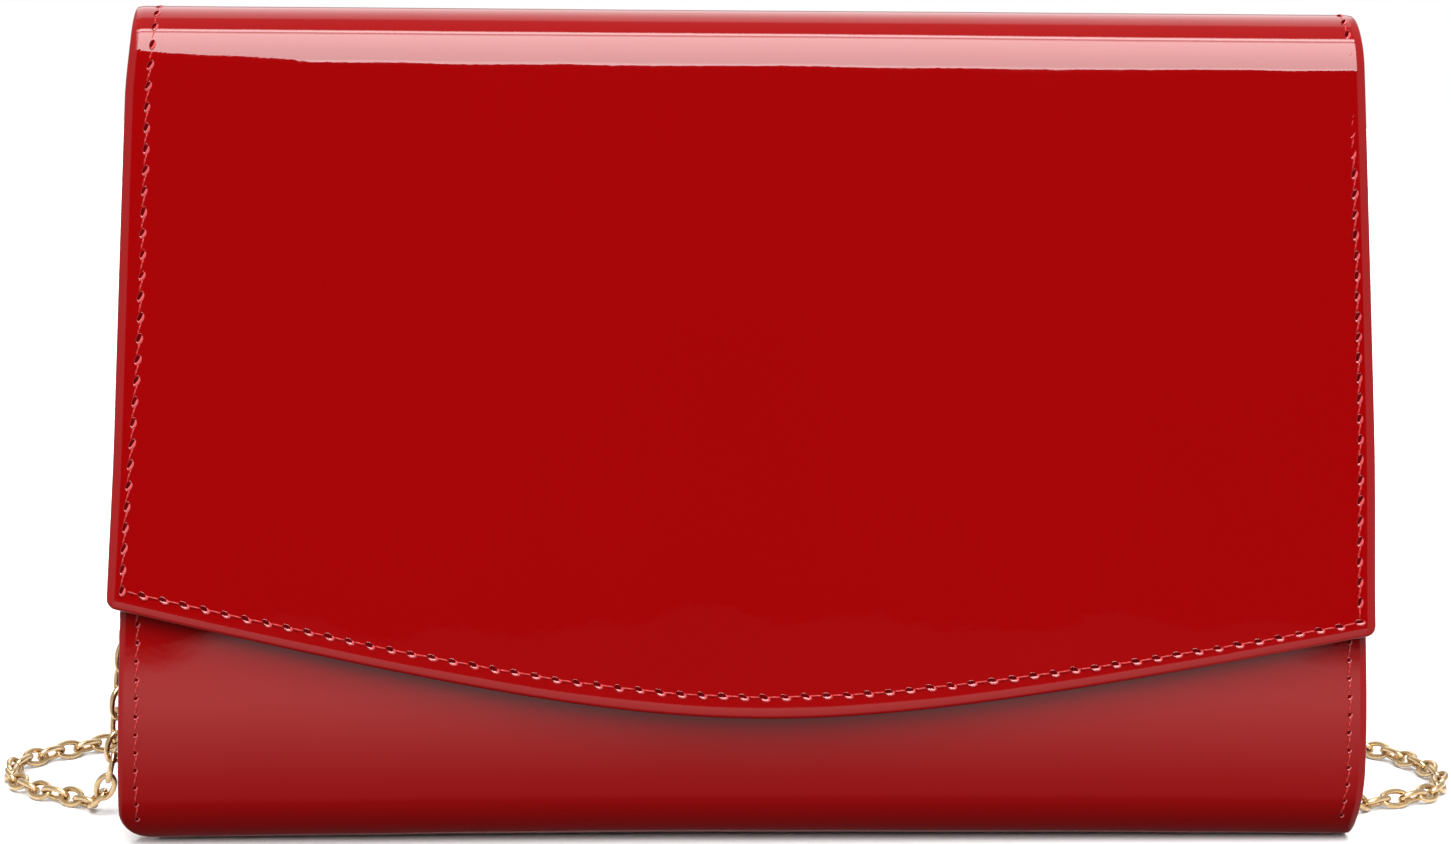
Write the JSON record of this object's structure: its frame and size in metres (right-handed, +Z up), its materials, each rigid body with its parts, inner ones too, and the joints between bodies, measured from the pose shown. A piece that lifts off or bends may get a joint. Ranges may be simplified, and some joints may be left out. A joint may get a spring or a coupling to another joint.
{
  "type": "clutch purse",
  "caption": "Patent leather flap-over clutch purse with a stiffened body, pleated gussets, a hidden magnetic snap and a detachable chain shoulder strap.",
  "frame": {"origin": "middle of the purse's box on the surface it stands on, without the free chain", "axes": "+X to the right seen from the front, -Y towards the front (flap) side, +Z up"},
  "size_m": [0.315, 0.1135, 0.1675],
  "materials": {
    "patent_leather": "high gloss patent, deep red",
    "binding_leather": "semi-gloss red leather",
    "lining": "fine twill, dark red",
    "board": "grey pressed paper board",
    "thread": "waxed red thread",
    "fitting_gold": "polished pale gold plate",
    "chain_gold": "polished pale gold",
    "snap_metal": "nickel plate",
    "magnet": "dark sintered magnet"
  },
  "bodies": {
    "bag_body": {"back_and_base_leather": "patent_leather", "back_board": "board", "base_board": "board", "body_lining": "lining", "slip_pocket": "lining", "pocket_binding": "binding_leather", "left_gusset_back_half": "patent_leather", "right_gusset_back_half": "patent_leather", "left_ring_tab": "binding_leather", "right_ring_tab": "binding_leather", "back_seam_thread_left": "thread", "back_seam_thread_right": "thread", "left_strap_chain": "chain_gold", "right_strap_chain": "chain_gold", "strap_chain_coil": "chain_gold"},
    "front_panel": {"front_panel_leather": "patent_leather", "front_board": "board", "front_lining": "lining", "left_gusset_front_half": "patent_leather", "right_gusset_front_half": "patent_leather", "snap_cup": "snap_metal", "snap_magnet": "magnet", "snap_cup_washer": "snap_metal", "front_seam_thread_left": "thread", "front_seam_thread_right": "thread"},
    "top_spine": {"spine_leather": "patent_leather", "spine_lining": "lining"},
    "flap": {"flap_leather": "patent_leather", "flap_board": "board", "flap_lining": "lining", "snap_stud": "snap_metal", "snap_stud_washer": "snap_metal", "flap_seam_thread": "thread"},
    "left_ring": {"left_strap_ring": "fitting_gold", "left_snap_hook": "fitting_gold", "left_gate_pin": "snap_metal"},
    "left_gate": {"left_hook_gate": "fitting_gold"},
    "left_swivel": {"left_hook_swivel": "fitting_gold", "left_first_link": "chain_gold"},
    "right_ring": {"right_strap_ring": "fitting_gold", "right_snap_hook": "fitting_gold", "right_gate_pin": "snap_metal"},
    "right_gate": {"right_hook_gate": "fitting_gold"},
    "right_swivel": {"right_hook_swivel": "fitting_gold", "right_first_link": "chain_gold"}
  },
  "joints": [
    {"name": "flap_lift", "type": "hinge", "parent": "bag_body", "child": "top_spine", "pos_m": [0, 0.0093, 0.1656], "axis": [-1, 0, 0], "range_deg": [0, 100]},
    {"name": "flap_fold", "type": "hinge", "parent": "top_spine", "child": "flap", "pos_m": [0, -0.0072, 0.1649], "axis": [-1, 0, 0], "range_deg": [0, 100]},
    {"name": "mouth_open", "type": "hinge", "parent": "bag_body", "child": "front_panel", "pos_m": [0, -0.0178, 0.0111], "axis": [1, 0, 0], "range_deg": [0, 6]},
    {"name": "left_ring_swing", "type": "hinge", "parent": "bag_body", "child": "left_ring", "pos_m": [-0.1105, 0.0056, 0.148], "axis": [0, 0, 1], "range_deg": [-10, 30]},
    {"name": "left_gate_press", "type": "hinge", "parent": "left_ring", "child": "left_gate", "pos_m": [-0.115, 0.0066, 0.1338], "axis": [1, 0, 0], "range_deg": [0, 25], "stiffness_Nm_per_rad": 0.01, "springref_deg": -17.19},
    {"name": "left_hook_turn", "type": "hinge", "parent": "left_ring", "child": "left_swivel", "pos_m": [-0.115, 0.0056, 0.1276], "axis": [0, 0, 1], "continuous": true},
    {"name": "right_ring_swing", "type": "hinge", "parent": "bag_body", "child": "right_ring", "pos_m": [0.1105, 0.0056, 0.148], "axis": [0, 0, -1], "range_deg": [-10, 30]},
    {"name": "right_gate_press", "type": "hinge", "parent": "right_ring", "child": "right_gate", "pos_m": [0.115, 0.0066, 0.1338], "axis": [1, 0, 0], "range_deg": [0, 25], "stiffness_Nm_per_rad": 0.01, "springref_deg": -17.19},
    {"name": "right_hook_turn", "type": "hinge", "parent": "right_ring", "child": "right_swivel", "pos_m": [0.115, 0.0056, 0.1276], "axis": [0, 0, 1], "continuous": true}
  ],
  "couplings": [
    {"joint": "flap_fold", "follows": "flap_lift", "ratio": 1},
    {"joint": "mouth_open", "follows": "flap_lift", "ratio": 0.06}
  ]
}
